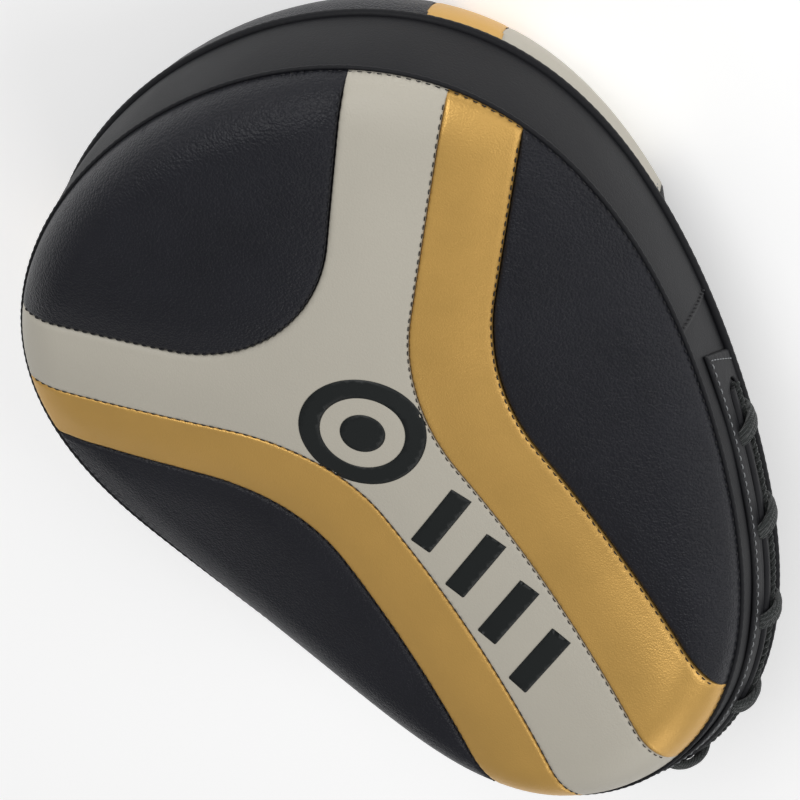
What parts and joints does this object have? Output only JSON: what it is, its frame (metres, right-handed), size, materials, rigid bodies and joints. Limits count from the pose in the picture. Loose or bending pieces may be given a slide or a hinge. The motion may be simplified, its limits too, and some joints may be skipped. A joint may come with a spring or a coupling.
{
  "type": "focus mitt",
  "caption": "Curved padded focus mitt with a crowned two-colour strike face, finger hood, palm ball, laced wrist end and a hinged hook-and-loop wrist strap.",
  "frame": {"origin": "centre of the bounding box on the ground plane, with the mitt lying on the back of its finger hood", "axes": "+Y towards the fingertips, +Z out of the flat part of the strike face, +X towards the side where the lacing starts higher"},
  "size_m": [0.2186, 0.2881, 0.1304],
  "materials": {
    "black_leather": "grained synthetic leather, satin",
    "side_leather": "smooth synthetic leather, matte",
    "pale_leather": "fine grained synthetic leather, satin",
    "gold_leather": "metallic coated synthetic leather",
    "print": "flexible printed film",
    "foam": "closed cell foam",
    "board": "flexible sheet",
    "lining": "knitted mesh",
    "lace": "flat ribbed braid",
    "webbing": "woven webbing",
    "hook_tape": "hook and loop tape",
    "rubber": "moulded rubber"
  },
  "bodies": {
    "mitt": {"strike_panel_top": "black_leather", "strike_panel_left": "black_leather", "strike_panel_right": "black_leather", "strike_panel_centre": "pale_leather", "strike_band_left": "gold_leather", "strike_band_right": "gold_leather", "face_print": "print", "impact_foam": "foam", "core_foam": "foam", "stiffener_board": "board", "back_panel": "side_leather", "gusset_upper": "side_leather", "gusset_wrist": "side_leather", "front_seam_welt": "side_leather", "back_seam_piping": "side_leather", "lacing_patch": "side_leather", "lace": "lace", "hood_panel_centre": "black_leather", "hood_stripe_left": "gold_leather", "hood_stripe_right": "gold_leather", "hood_side_left": "pale_leather", "hood_side_right": "pale_leather", "hood_foam": "foam", "hood_lining": "lining", "hood_binding": "side_leather", "grip_ball_core": "foam", "grip_ball_cover": "black_leather", "cuff_flap_left": "side_leather", "cuff_flap_right": "side_leather", "cuff_foam_left": "lining", "cuff_foam_right": "lining", "strap_anchor": "webbing", "loop_patch": "hook_tape"},
    "strap": {"closure_strap": "webbing", "hook_patch": "hook_tape", "pull_tab": "rubber"}
  },
  "joints": [
    {"name": "strap_open", "type": "hinge", "parent": "mitt", "child": "strap", "pos_m": [-0.0406, -0.06445, -0.00015], "axis": [0, 1, 0], "range_deg": [0, 175]}
  ]
}
